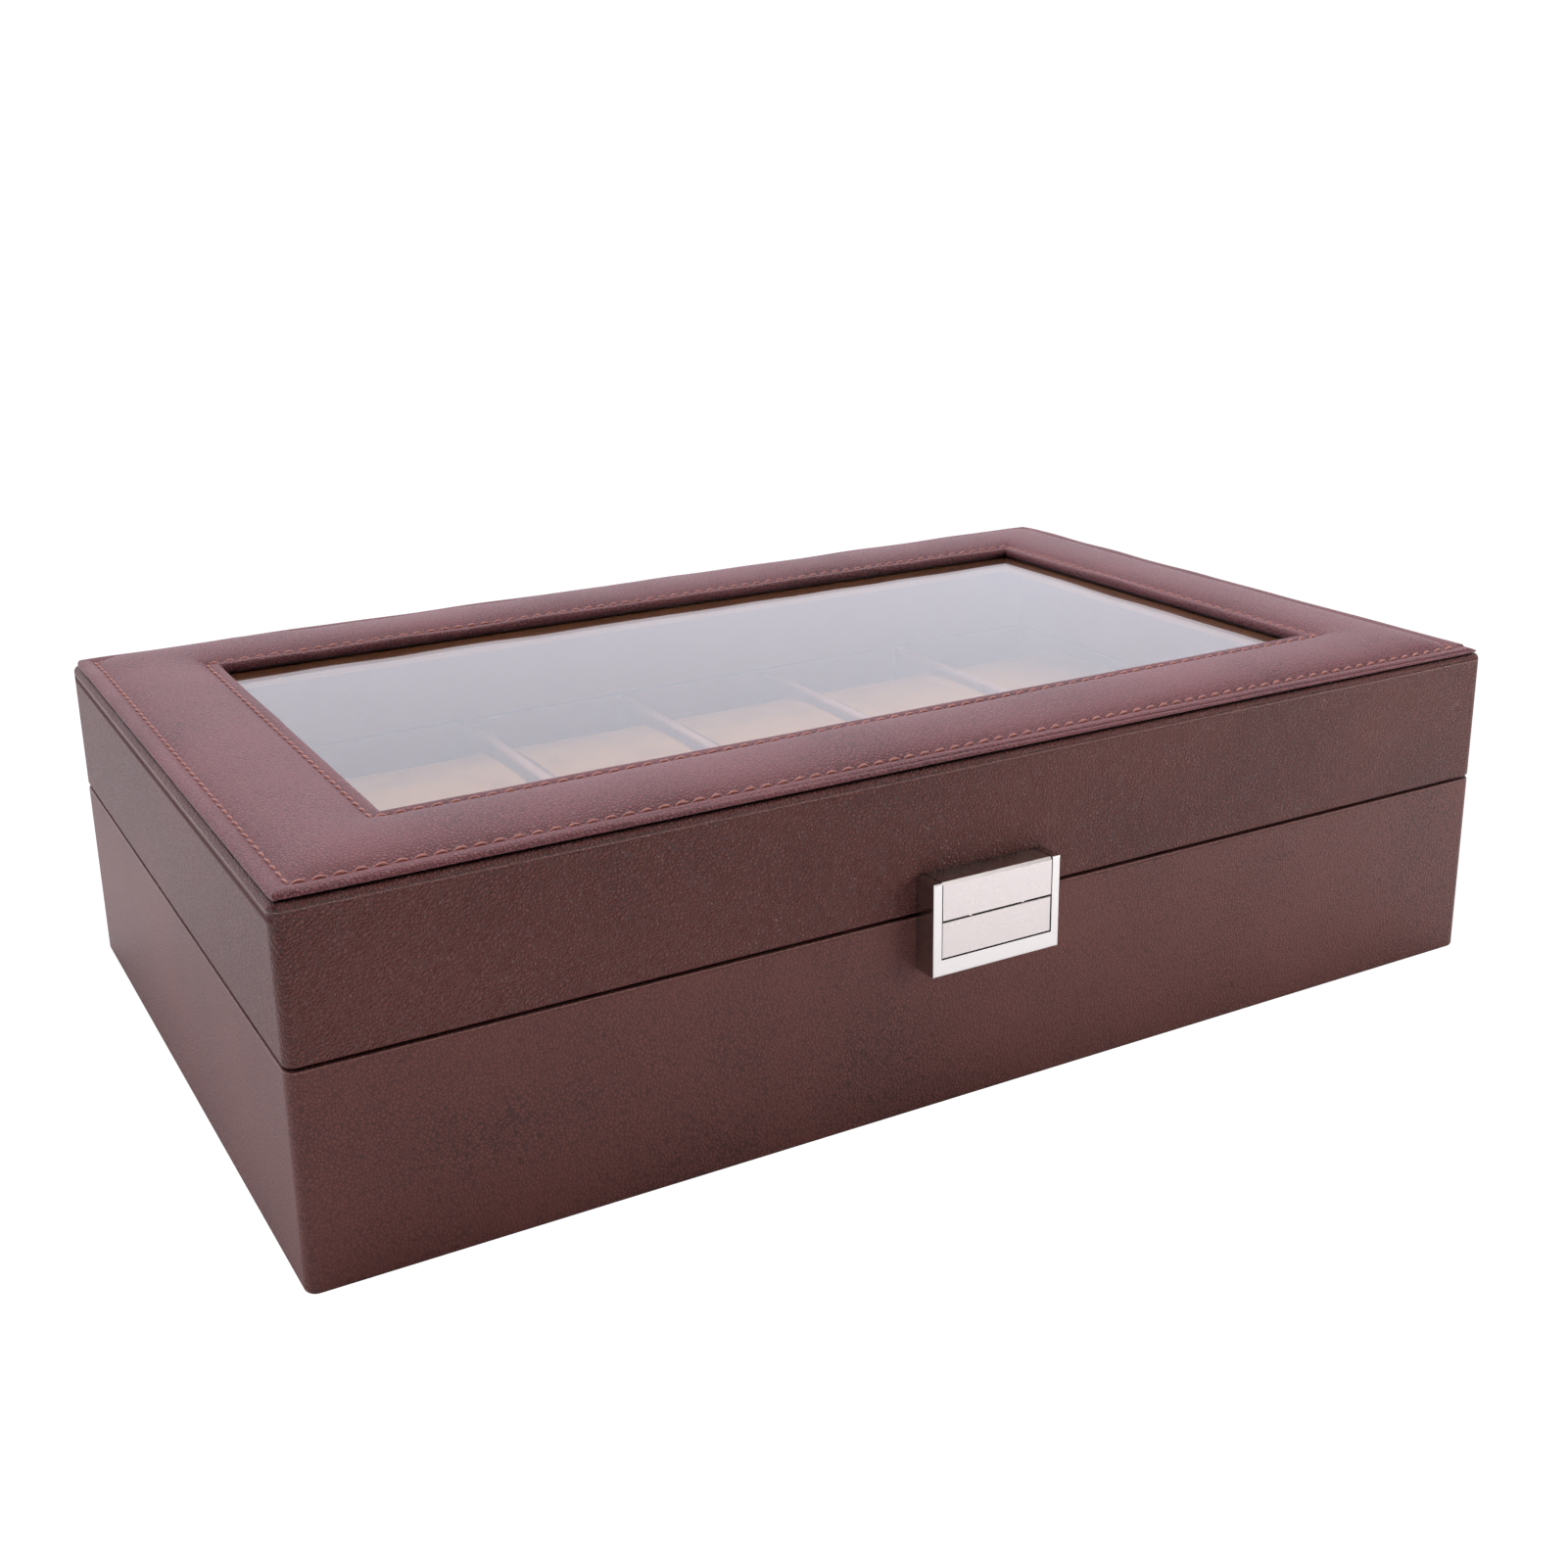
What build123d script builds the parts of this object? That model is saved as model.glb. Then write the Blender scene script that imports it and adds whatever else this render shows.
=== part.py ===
# Box for twelve watches: a leather-covered board box with a hinged, glazed and padded lid.
# Millimetres. X runs along the width, the front faces -Y and Z is up.
# The origin is the centre of the felt underside that the box stands on.
import os

from build123d import *

os.makedirs("parts", exist_ok=True)

# Outer box
box_width = 300.0
box_depth = 184.0
base_height = 46.1  # table to the rim of the base
rim_gap = 0.4  # shut line between base and lid
lid_wall_height = 31.5  # lid rim to the top of the lid walls
corner_radius = 2.5

# Sheets and boards
leather = 1.0
wall_board = 5.0
floor_board = 4.0
top_board = 4.0
lining = 1.5
ceiling_lining = 1.2
felt = 1.3
felt_proud = 0.3  # the felt stands this far below the leather turned under
felt_corner = 3.0
turn_under = 14.0  # width of the leather turned under the base
rim_radius = 0.7  # soft edge where the leather turns over a rim
foot_radius = 0.9  # soft edge along the foot of the base
shoulder_radius = 1.5  # soft edge along the top of the lid walls
glue_gap = 0.1  # between cut sheets that butt

# Compartments
columns = 6
divider = 3.0
divider_radius = 0.8
lining_drop = 0.3  # rim down to the top edges of linings and dividers

# Cushions
cushion_side_gap = 2.25  # cushion to divider, on each side
cushion_length = 50.0
cushion_height = 37.4
cushion_end_radius = 6.0
cushion_crown = 1.4  # rise of the top between its rounded ends
cushion_draw = 0.6  # how far the end panels are drawn in all round
cushion_sink = 0.5  # cut flat by this much where it rests
cushion_sections = (-1.0, -0.8, -0.5, 0.0, 0.5, 0.8, 1.0)  # shares of the half width

# Window and padded cover
window_border = 30.5  # outer face of the box to the window's leather edge
window_lining = 1.0
glass = 2.0
glass_reach = 5.0  # how far the pane reaches under the cover
glass_clearance = 0.3
pad_inset = 0.7  # the padded cover stands back from the face of the wall
pad_card = 1.0
pad_leather = 1.0
pad_radius = 0.8
stitch_inset = 4.2  # edge of the cover to its stitches
pad_rise = 2.2  # crown of the padding above the stitched edge

# Hinges
hinge_inset = 55.0  # side of the box to the middle of a hinge
leaf_width = 28.0
leaf = 1.0
leaf_setback = 0.2  # end of the leaf to the inner face of the wall board
barrel_radius = 2.2
barrel_gap = 0.2  # barrel to the back of the box
pin_radius = 0.9
pin_running_gap = 0.05
pin_head_radius = 1.5
pin_head = 0.6
knuckle_gap = 0.15
opening_angle = 95.0
heel = 1.0  # thickness of the stop tabs
heel_reach = 2.2  # how far they stand out of the barrel
heel_overlap = 2.4  # how far the lid's tab reaches past its own knuckle
stop_gap = 0.1

# Clasp
clasp_width = 32.5
clasp_proud = 6.2
clasp_below = 12.0  # rim of the base down to the foot of the clasp
clasp_above = 8.9  # rim of the base up to the top of the clasp
clasp_side_bar = 2.05
clasp_foot_bar = 3.7
clasp_clearance = 0.25
clasp_edge = 0.3
clasp_slit = 0.5  # gap between button and keeper
slit_above_rim = 0.2  # rim of the base up to the middle of the slit
lid_clearance = 0.3  # the frame's side bars to the lid
housing_depth = 3.2  # how far the housing is let into the wall
housing_wall = 1.0
housing_floor = 0.6
housing_below_rim = 1.5
button_plate = 1.6
button_travel = 1.2
button_margin = 0.3  # body of the button to the housing, above and below
button_flange = 0.9
flange_gap = 0.1  # flange to the lips that stop it
lip = 1.0
lip_reach = 1.4
tongue_offset = 6.75
tongue_width = 2.6
tongue = 0.8
tongue_drop = 5.75
barb = 0.3
barb_height = 1.0
barb_gap = 0.2  # the bite is left open by this much
catch = 1.0  # thickness of the bar behind the tongues
keeper_bevel = 0.6
nib_width = 0.6
nib_depth = 1.2
nib_gap = 0.1
spring_radius = 1.4
spring_wire = 0.4
spring_turns = 5
spring_fit = 0.3
spring_seat_gap = 0.02

# Screws, all countersunk
screw_radius = 0.9
screw_head_radius = 1.7
screw_head = 0.8
screw_sink = 0.1
screw_fit = 0.03
screw_slot = 0.5
hinge_screw_length = 9.0
hinge_screw_spacing = 18.0
clasp_screw_spacing = 21.0
clasp_screw_rise = 1.6  # foot of the clasp up to its screws
keeper_screw_spacing = 16.0
front_screw_length = 9.0

# Plan sizes, from the outside in
carcass_width = box_width - 2 * leather
carcass_depth = box_depth - 2 * leather
carcass_corner = corner_radius - leather
inner_width = carcass_width - 2 * wall_board
inner_depth = carcass_depth - 2 * wall_board
room_width = inner_width - 2 * lining
room_depth = inner_depth - 2 * lining
column_pitch = (room_width + divider) / columns
cell_depth = (room_depth - divider) / 2
row_pitch = cell_depth + divider
cushion_width = column_pitch - divider - 2 * cushion_side_gap
window_width = box_width - 2 * window_border
window_depth = box_depth - 2 * window_border
pane_width = window_width + 2 * glass_reach
pane_depth = window_depth + 2 * glass_reach
seat_width = pane_width + 2 * glass_clearance
seat_depth = pane_depth + 2 * glass_clearance
pad_width = box_width - 2 * pad_inset
pad_depth = box_depth - 2 * pad_inset
pad_corner = corner_radius - pad_inset
padding_half = (window_border - pad_inset) / 2 - stitch_inset
padding_width = (pad_width + window_width) / 2
padding_depth = (pad_depth + window_depth) / 2

# Heights, from the table up
board_foot = felt
floor_board_top = board_foot + floor_board
floor_top = floor_board_top + lining
base_board_top = base_height - leather
lining_top = base_height - lining_drop
lap_middle = (floor_top + lining_top) / 2
lid_rim = base_height + rim_gap
lid_board_foot = lid_rim + leather
lid_top = lid_rim + lid_wall_height
top_board_top = lid_top - leather
top_board_low = top_board_top - top_board
ceiling = top_board_low - ceiling_lining
pane_low = lid_top - glass
pad_card_top = lid_top + pad_card
pad_edge = pad_card_top + pad_leather

# Hinges
axis_y = box_depth / 2 + barrel_gap + barrel_radius
axis_z = base_height + rim_gap / 2
leaf_front = inner_depth / 2 + leaf_setback
knuckle = leaf_width / 3
hinge_screw_y = inner_depth / 2 + wall_board / 2
hinge_places = {"left": hinge_inset - box_width / 2, "right": box_width / 2 - hinge_inset}

# Clasp, its depths counted from the front face of the box
front = -box_depth / 2
board_inside = -inner_depth / 2
clasp_foot = base_height - clasp_below
clasp_top = base_height + clasp_above
clasp_face = front - clasp_proud
well_half = clasp_width / 2 - clasp_side_bar
well_foot = clasp_foot + clasp_foot_bar
moving_half = well_half - clasp_clearance
button_top = base_height + slit_above_rim - clasp_slit / 2
keeper_foot = button_top + clasp_slit
housing_top = base_height - housing_below_rim
housing_half = well_half + housing_wall
housing_back = front + housing_depth
housing_room = housing_back - housing_wall
body_foot = well_foot + button_margin
body_top = housing_top - housing_wall - button_margin
body_half = well_half - lip_reach - clasp_clearance
plate_back = clasp_face + button_plate
tongue_front = plate_back + button_travel + clasp_clearance
tongue_back = tongue_front + tongue
tongue_foot = keeper_foot - tongue_drop
catch_front = tongue_back + barb + barb_gap
lip_front = catch_front + catch - flange_gap - lip
flange_front = lip_front + lip + flange_gap
flange_back = flange_front + button_flange
spring_seat = flange_back - button_flange - catch
spring_z = (body_foot + body_top) / 2
clasp_screw_z = clasp_foot + clasp_screw_rise
keeper_screw_z = (keeper_foot + clasp_top) / 2


def save(builder, name):
    builder.part.label = name
    export_step(builder.part, f"parts/{name}.step")


def block(low, high, mode=Mode.ADD):
    # A plain block between two opposite corners
    size = [b - a for a, b in zip(low, high)]
    middle = [(a + b) / 2 for a, b in zip(low, high)]
    with Locations(tuple(middle)):
        Box(*size, mode=mode)


def slab(width, depth, low, high, radius=0.0, mode=Mode.ADD):
    # A level plate centred on the box
    with BuildSketch(Plane.XY.offset(low)) as outline:
        if radius > 0:
            RectangleRounded(width, depth, radius)
        else:
            Rectangle(width, depth)
    extrude(outline.sketch, amount=high - low, mode=mode)


def rod(centre, direction, length, radius, mode=Mode.ADD):
    # A round bar centred on a point, along one axis
    turn = {"x": (0, 90, 0), "y": (90, 0, 0), "z": (0, 0, 0)}[direction]
    with Locations(Location(centre, turn)):
        Cylinder(radius, length, mode=mode)


def screw_shape(place, turn, length, grow=0.0, mode=Mode.ADD):
    # Head flush at the place, shank along the turned -Z
    sunk = (Align.CENTER, Align.CENTER, Align.MAX)
    with Locations(Location(place, turn)):
        Cylinder(screw_radius + grow, length, align=sunk, mode=mode)
        Cone(screw_radius + grow, screw_head_radius + grow, screw_head, align=sunk, mode=mode)


def slotted_screws(places, turn, length):
    with BuildPart() as screws:
        for place in places:
            screw_shape(place, turn, length)
            with Locations(Location(place, turn)):
                Box(2 * screw_head_radius, screw_slot, screw_slot, mode=Mode.SUBTRACT)
    return screws


def screw_holes(places, turn, length):
    for place in places:
        screw_shape(place, turn, length, screw_fit, Mode.SUBTRACT)


def pair(spacing, y, z):
    return [(-spacing / 2, y, z), (spacing / 2, y, z)]


screw_down = (0, 0, 0)
screw_up = (180, 0, 0)
screw_forward = (-90, 0, 0)
clasp_screw_places = pair(clasp_screw_spacing, board_inside - screw_sink, clasp_screw_z)
keeper_screw_places = pair(keeper_screw_spacing, board_inside - screw_sink, keeper_screw_z)


def hinge_screw_places(x, z):
    return [(x + place[0], hinge_screw_y, z) for place in pair(hinge_screw_spacing, 0, 0)]


def all_hinge_screw_places(z):
    return [place for x in hinge_places.values() for place in hinge_screw_places(x, z)]


base_hinge_screws = all_hinge_screw_places(base_height - screw_sink)
lid_hinge_screws = all_hinge_screw_places(lid_rim + screw_sink)


def leaf_beds(low, high):
    # Shallow beds in a rim for the hinge leaves
    for x in hinge_places.values():
        half = leaf_width / 2 + glue_gap
        block((x - half, leaf_front - glue_gap, low), (x + half, box_depth, high), Mode.SUBTRACT)


def clasp_pocket(depth_to):
    # The bed in the front wall for the housing of the clasp
    half = housing_half + glue_gap
    low = (-half, front - leather, well_foot - housing_floor - glue_gap)
    block(low, (half, depth_to, housing_top + glue_gap), Mode.SUBTRACT)


# Base: boards
def wall_panel(side, low, high):
    # One wall of the carcass; the front and back walls run the full width
    slab(carcass_width, carcass_depth, low, high, carcass_corner)
    far = carcass_width
    if side in ("front", "back"):
        sign = -1 if side == "front" else 1
        keep_from = sign * inner_depth / 2
        block(
            (-far, min(keep_from, -sign * far), low),
            (far, max(keep_from, -sign * far), high),
            Mode.SUBTRACT,
        )
        return
    sign = -1 if side == "left" else 1
    keep_from = sign * inner_width / 2
    block(
        (min(keep_from, -sign * far), -far, low),
        (max(keep_from, -sign * far), far, high),
        Mode.SUBTRACT,
    )
    for end in (-1, 1):
        wall = end * inner_depth / 2
        block((-far, min(wall, end * far), low), (far, max(wall, end * far), high), Mode.SUBTRACT)


with BuildPart() as base_front_panel:
    wall_panel("front", board_foot, base_board_top)
    clasp_pocket(housing_back + glue_gap)
    screw_holes(clasp_screw_places, screw_forward, front_screw_length)
save(base_front_panel, "base_front_panel")

with BuildPart() as base_back_panel:
    wall_panel("back", board_foot, base_board_top)
    leaf_beds(base_height - leaf, lid_rim)
    screw_holes(base_hinge_screws, screw_down, hinge_screw_length)
save(base_back_panel, "base_back_panel")

for side in ("left", "right"):
    with BuildPart() as base_side_panel:
        wall_panel(side, board_foot, base_board_top)
    save(base_side_panel, f"base_{side}_panel")

with BuildPart() as base_bottom_panel:
    slab(inner_width, inner_depth, board_foot, floor_board_top)
save(base_bottom_panel, "base_bottom_panel")

# Base: leather outside, turned over the rim and under the foot
with BuildPart() as base_leather_wrap:
    slab(box_width, box_depth, felt_proud, base_height, corner_radius)
    fillet(faces().sort_by(Axis.Z)[-1].outer_wire().edges(), rim_radius)
    fillet(faces().sort_by(Axis.Z)[0].outer_wire().edges(), foot_radius)
    slab(carcass_width, carcass_depth, board_foot, base_board_top, carcass_corner, Mode.SUBTRACT)
    slab(inner_width, inner_depth, base_board_top, base_height, mode=Mode.SUBTRACT)
    slab(
        box_width - 2 * turn_under,
        box_depth - 2 * turn_under,
        0,
        board_foot,
        felt_corner,
        Mode.SUBTRACT,
    )
    leaf_beds(base_height - leaf, lid_rim)
    clasp_pocket(front + leather)
    screw_holes(clasp_screw_places, screw_forward, front_screw_length)
save(base_leather_wrap, "base_leather_wrap")

with BuildPart() as base_felt:
    slab(
        box_width - 2 * turn_under - 2 * glue_gap,
        box_depth - 2 * turn_under - 2 * glue_gap,
        0,
        board_foot,
        felt_corner,
    )
save(base_felt, "base_felt")

# Base: velvet-covered card inside
with BuildPart() as base_floor_lining:
    slab(inner_width, inner_depth, floor_board_top, floor_top)
save(base_floor_lining, "base_floor_lining")


def side_lining(side, low, high):
    # One upright strip of lining; the front and back strips run the full width
    if side in ("front", "back"):
        sign = -1 if side == "front" else 1
        walls = sorted((sign * inner_depth / 2, sign * room_depth / 2))
        block((-inner_width / 2, walls[0], low), (inner_width / 2, walls[1], high))
        return
    sign = -1 if side == "left" else 1
    walls = sorted((sign * inner_width / 2, sign * room_width / 2))
    block((walls[0], -room_depth / 2, low), (walls[1], room_depth / 2, high))


for side in ("front", "back", "left", "right"):
    with BuildPart() as base_lining:
        side_lining(side, floor_top, lining_top)
    save(base_lining, f"base_lining_{side}")

# Dividers, half lapped where they cross
short_divider_places = [column_pitch * (n + 1 - columns / 2) for n in range(columns - 1)]
lap_half = divider / 2 + glue_gap / 2

with BuildPart() as long_divider:
    reach = room_width / 2 - glue_gap
    block((-reach, -divider / 2, floor_top), (reach, divider / 2, lining_top))
    fillet(edges().filter_by(Axis.X).group_by(Axis.Z)[-1], divider_radius)
    for x in short_divider_places:
        block((x - lap_half, -divider, lap_middle), (x + lap_half, divider, base_height), Mode.SUBTRACT)
save(long_divider, "long_divider")

for number, x in enumerate(short_divider_places, start=1):
    with BuildPart() as short_divider:
        reach = room_depth / 2 - glue_gap
        block((x - divider / 2, -reach, floor_top), (x + divider / 2, reach, lining_top))
        fillet(edges().filter_by(Axis.Y).group_by(Axis.Z)[-1], divider_radius)
        block((x - divider, -lap_half, 0), (x + divider, lap_half, lap_middle), Mode.SUBTRACT)
    save(short_divider, f"short_divider_{number}")


# Watch cushions: rounded rolls with a crowned top and drawn-in end panels
def watch_cushion(centre_x, centre_y):
    low = floor_top - cushion_sink
    with BuildPart() as cushion:
        for share in cushion_sections:
            draw = cushion_draw * share**4
            radius = cushion_end_radius - draw / 2
            foot = low + draw
            head = floor_top + cushion_height - cushion_crown - draw
            side = cushion_length / 2 - draw
            flat = side - radius
            with BuildSketch(Plane.YZ.offset(centre_x + share * cushion_width / 2)):
                with BuildLine():
                    Line((centre_y - flat, foot), (centre_y + flat, foot))
                    RadiusArc((centre_y + flat, foot), (centre_y + side, foot + radius), -radius)
                    Line((centre_y + side, foot + radius), (centre_y + side, head - radius))
                    RadiusArc((centre_y + side, head - radius), (centre_y + flat, head), -radius)
                    SagittaArc((centre_y + flat, head), (centre_y - flat, head), -cushion_crown)
                    RadiusArc((centre_y - flat, head), (centre_y - side, head - radius), -radius)
                    Line((centre_y - side, head - radius), (centre_y - side, foot + radius))
                    RadiusArc((centre_y - side, foot + radius), (centre_y - flat, foot), -radius)
                make_face()
        loft()
        slab(box_width, box_depth, low - lining, floor_top, mode=Mode.SUBTRACT)
    return cushion


cushion_columns = [column_pitch * (n + 0.5 - columns / 2) for n in range(columns)]
cushion_places = [(x, y) for y in (-row_pitch / 2, row_pitch / 2) for x in cushion_columns]
for number, (x, y) in enumerate(cushion_places, start=1):
    save(watch_cushion(x, y), f"watch_cushion_{number:02d}")

# Clasp frame: bars that stand round the button and the keeper, and a housing let into the wall
with BuildPart() as clasp_frame:
    half = clasp_width / 2
    block((-half, clasp_face, clasp_foot), (half, front, clasp_top))
    fillet(faces().sort_by(Axis.Y)[0].outer_wire().edges(), clasp_edge)
    lid_room = base_height - lid_clearance
    block((-half, front - lid_clearance, lid_room), (half, front, clasp_top), Mode.SUBTRACT)
    block((-housing_half, front, well_foot - housing_floor), (housing_half, housing_back, housing_top))
    block((-well_half, clasp_face, well_foot), (well_half, front, clasp_top), Mode.SUBTRACT)
    room_top = housing_top - housing_wall
    block((-well_half, front, well_foot), (well_half, housing_room, room_top), Mode.SUBTRACT)
    for side in (-1, 1):
        across = sorted((side * well_half, side * (well_half - lip_reach)))
        block((across[0], lip_front, well_foot), (across[1], lip_front + lip, body_top))
    screw_holes(clasp_screw_places, screw_forward, front_screw_length)
save(clasp_frame, "clasp_frame")

# Press button: a plate with a flanged body behind it, pocketed for the keeper's tongues
with BuildPart() as clasp_button:
    plate_foot = well_foot + clasp_clearance
    block((-moving_half, clasp_face, plate_foot), (moving_half, plate_back, button_top))
    chamfer(faces().sort_by(Axis.Y)[0].outer_wire().edges(), clasp_edge / 2)
    block((-body_half, plate_back, body_foot), (body_half, flange_front, body_top))
    block((-moving_half, flange_front, body_foot), (moving_half, flange_back, body_top))
    for side in (-1, 1):
        middle = side * tongue_offset
        pocket_half = tongue_width / 2 + clasp_clearance
        pocket_foot = tongue_foot - barb_gap
        block(
            (middle - pocket_half, plate_back, pocket_foot),
            (middle + pocket_half, catch_front, body_top),
            Mode.SUBTRACT,
        )
        block(
            (middle - pocket_half, catch_front, pocket_foot),
            (middle + pocket_half, catch_front + barb, tongue_foot + barb_height + barb_gap),
            Mode.SUBTRACT,
        )
    seat_middle = (spring_seat + flange_back) / 2
    rod(
        (0, seat_middle, spring_z),
        "y",
        flange_back - spring_seat,
        spring_radius + spring_wire / 2 + spring_fit,
        Mode.SUBTRACT,
    )
save(clasp_button, "clasp_button")

# Button spring, its coils inside the blind hole in the button
spring_height = housing_room - spring_seat - spring_wire - 2 * spring_seat_gap
with BuildPart() as button_spring:
    start = spring_seat + spring_wire / 2 + spring_seat_gap
    with BuildLine() as coil:
        Helix(
            spring_height / spring_turns,
            spring_height,
            spring_radius,
            center=(0, start, spring_z),
            direction=(0, 1, 0),
        )
    with BuildSketch(Plane(coil.line @ 0, z_dir=coil.line % 0)):
        Circle(spring_wire / 2)
    sweep()
save(button_spring, "button_spring")

save(slotted_screws(clasp_screw_places, screw_forward, front_screw_length - screw_fit), "clasp_screws")

# Keeper on the lid, with two tongues that drop into the button
with BuildPart() as clasp_keeper:
    block((-moving_half, clasp_face, keeper_foot), (moving_half, front, clasp_top))
    chamfer(edges().filter_by(Axis.X).group_by(Axis.Z)[-1].sort_by(Axis.Y)[0], keeper_bevel)
    for side in (-1, 1):
        left = side * tongue_offset - tongue_width / 2
        right = left + tongue_width
        block((left, tongue_front, tongue_foot), (right, tongue_back, keeper_foot))
        block((left, tongue_back, tongue_foot), (right, tongue_back + barb, tongue_foot + barb_height))
        nib_left = side * tongue_offset - nib_width / 2
        nib_front = clasp_face + clasp_edge
        block(
            (nib_left, nib_front, button_top + nib_gap),
            (nib_left + nib_width, nib_front + nib_depth, keeper_foot),
        )
    screw_holes(keeper_screw_places, screw_forward, front_screw_length)
save(clasp_keeper, "clasp_keeper")

save(slotted_screws(keeper_screw_places, screw_forward, front_screw_length - screw_fit), "keeper_screws")

# Lid: boards
with BuildPart() as lid_front_panel:
    wall_panel("front", lid_board_foot, top_board_low)
    screw_holes(keeper_screw_places, screw_forward, front_screw_length)
save(lid_front_panel, "lid_front_panel")

with BuildPart() as lid_back_panel:
    wall_panel("back", lid_board_foot, top_board_low)
    leaf_beds(base_height, lid_rim + leaf)
    screw_holes(lid_hinge_screws, screw_up, hinge_screw_length)
save(lid_back_panel, "lid_back_panel")

for side in ("left", "right"):
    with BuildPart() as lid_side_panel:
        wall_panel(side, lid_board_foot, top_board_low)
    save(lid_side_panel, f"lid_{side}_panel")

with BuildPart() as lid_top_board:
    slab(carcass_width, carcass_depth, top_board_low, top_board_top, carcass_corner)
    slab(seat_width, seat_depth, pane_low, top_board_top, mode=Mode.SUBTRACT)
    slab(
        window_width + 2 * window_lining,
        window_depth + 2 * window_lining,
        top_board_low,
        pane_low,
        mode=Mode.SUBTRACT,
    )
save(lid_top_board, "lid_top_board")

# Lid: leather outside, turned over the rim and over the top board as far as the glass
with BuildPart() as lid_leather_wrap:
    slab(box_width, box_depth, lid_rim, lid_top, corner_radius)
    fillet(faces().sort_by(Axis.Z)[-1].outer_wire().edges(), shoulder_radius)
    fillet(faces().sort_by(Axis.Z)[0].outer_wire().edges(), rim_radius)
    slab(carcass_width, carcass_depth, lid_board_foot, top_board_top, carcass_corner, Mode.SUBTRACT)
    slab(inner_width, inner_depth, lid_rim, lid_board_foot, mode=Mode.SUBTRACT)
    slab(seat_width, seat_depth, top_board_top, lid_top, mode=Mode.SUBTRACT)
    leaf_beds(base_height, lid_rim + leaf)
    screw_holes(keeper_screw_places, screw_forward, front_screw_length)
save(lid_leather_wrap, "lid_leather_wrap")

# Lid: glass and lining
with BuildPart() as glass_pane:
    slab(pane_width, pane_depth, pane_low, lid_top)
save(glass_pane, "glass_pane")

for side in ("front", "back", "left", "right"):
    with BuildPart() as lid_lining:
        side_lining(side, lid_rim + lining_drop, ceiling)
    save(lid_lining, f"lid_lining_{side}")

with BuildPart() as lid_ceiling_lining:
    slab(inner_width, inner_depth, ceiling, top_board_low)
    slab(
        window_width + 2 * window_lining,
        window_depth + 2 * window_lining,
        top_board_low,
        pane_low,
    )
    slab(window_width, window_depth, ceiling, pane_low, mode=Mode.SUBTRACT)
save(lid_ceiling_lining, "lid_ceiling_lining")

# Padded cover: a card frame, foam and a leather skin with a raised border between its stitches
with BuildPart() as pad_card_frame:
    slab(
        pad_width - 2 * pad_leather,
        pad_depth - 2 * pad_leather,
        lid_top,
        pad_card_top,
        pad_corner - pad_leather,
    )
    slab(
        window_width + 2 * pad_leather,
        window_depth + 2 * pad_leather,
        lid_top,
        pad_card_top,
        mode=Mode.SUBTRACT,
    )
save(pad_card_frame, "pad_card_frame")


def padding_border(half, level, mode=Mode.ADD):
    # An arched border on a level plane, mitred at the four corners
    x = padding_width / 2
    y = padding_depth / 2
    with BuildLine() as path:
        corners = [(x, -y, level), (x, y, level), (-x, y, level), (-x, -y, level)]
        Polyline((0, -y, level), *corners, (0, -y, level))
    with BuildSketch(Plane(origin=(0, -y, level), x_dir=(0, 1, 0), z_dir=(1, 0, 0))) as arch:
        with BuildLine():
            Line((-half, 0), (half, 0))
            SagittaArc((half, 0), (-half, 0), -pad_rise)
        make_face()
    sweep(arch.sketch, path=path.wire(), transition=Transition.RIGHT, mode=mode)


with BuildPart() as pad_foam:
    padding_border(padding_half - pad_leather, pad_card_top)
save(pad_foam, "pad_foam")

with BuildPart() as pad_leather_cover:
    slab(pad_width, pad_depth, lid_top, pad_edge, pad_corner)
    fillet(faces().sort_by(Axis.Z)[-1].outer_wire().edges(), pad_radius)
    fillet(faces().sort_by(Axis.Z)[0].outer_wire().edges(), pad_radius)
    slab(window_width, window_depth, lid_top, pad_edge, mode=Mode.SUBTRACT)
    fillet(faces().sort_by(Axis.Z)[-1].inner_wires()[0].edges(), pad_radius)
    padding_border(padding_half, pad_edge)
    slab(
        pad_width - 2 * pad_leather,
        pad_depth - 2 * pad_leather,
        lid_top,
        pad_card_top,
        pad_corner - pad_leather,
        Mode.SUBTRACT,
    )
    slab(
        window_width + 2 * pad_leather,
        window_depth + 2 * pad_leather,
        lid_top,
        pad_card_top,
    )
    slab(window_width, window_depth, lid_top, pad_edge, mode=Mode.SUBTRACT)
    padding_border(padding_half - pad_leather, pad_card_top, Mode.SUBTRACT)
save(pad_leather_cover, "pad_leather_cover")


# Hinges: leaves let into the rims, barrels behind the box, and heels that meet at the full opening
def hinge_bore(x):
    radius = pin_radius + pin_running_gap
    rod((x, axis_y, axis_z), "x", 2 * leaf_width, radius, Mode.SUBTRACT)


def knuckle_on(low_x, high_x, leaf_low, leaf_high):
    # One knuckle and the neck of leaf that carries it
    middle = (low_x + high_x) / 2
    rod((middle, axis_y, axis_z), "x", high_x - low_x, barrel_radius)
    block((low_x, box_depth / 2, leaf_low), (high_x, axis_y, leaf_high))


def hinge_base_leaf(x):
    low = base_height - leaf
    with BuildPart() as piece:
        block((x - leaf_width / 2, leaf_front, low), (x + leaf_width / 2, box_depth / 2, base_height))
        for side in (-1, 1):
            ends = sorted((x + side * leaf_width / 2, x + side * (knuckle / 2 + knuckle_gap)))
            knuckle_on(ends[0], ends[1], low, base_height)
            block(
                (ends[0], axis_y + pin_radius + heel / 2, axis_z - heel),
                (ends[1], axis_y + barrel_radius + heel_reach, axis_z),
            )
        hinge_bore(x)
        screw_holes(hinge_screw_places(x, base_height - screw_sink), screw_down, hinge_screw_length)
    return piece


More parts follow.
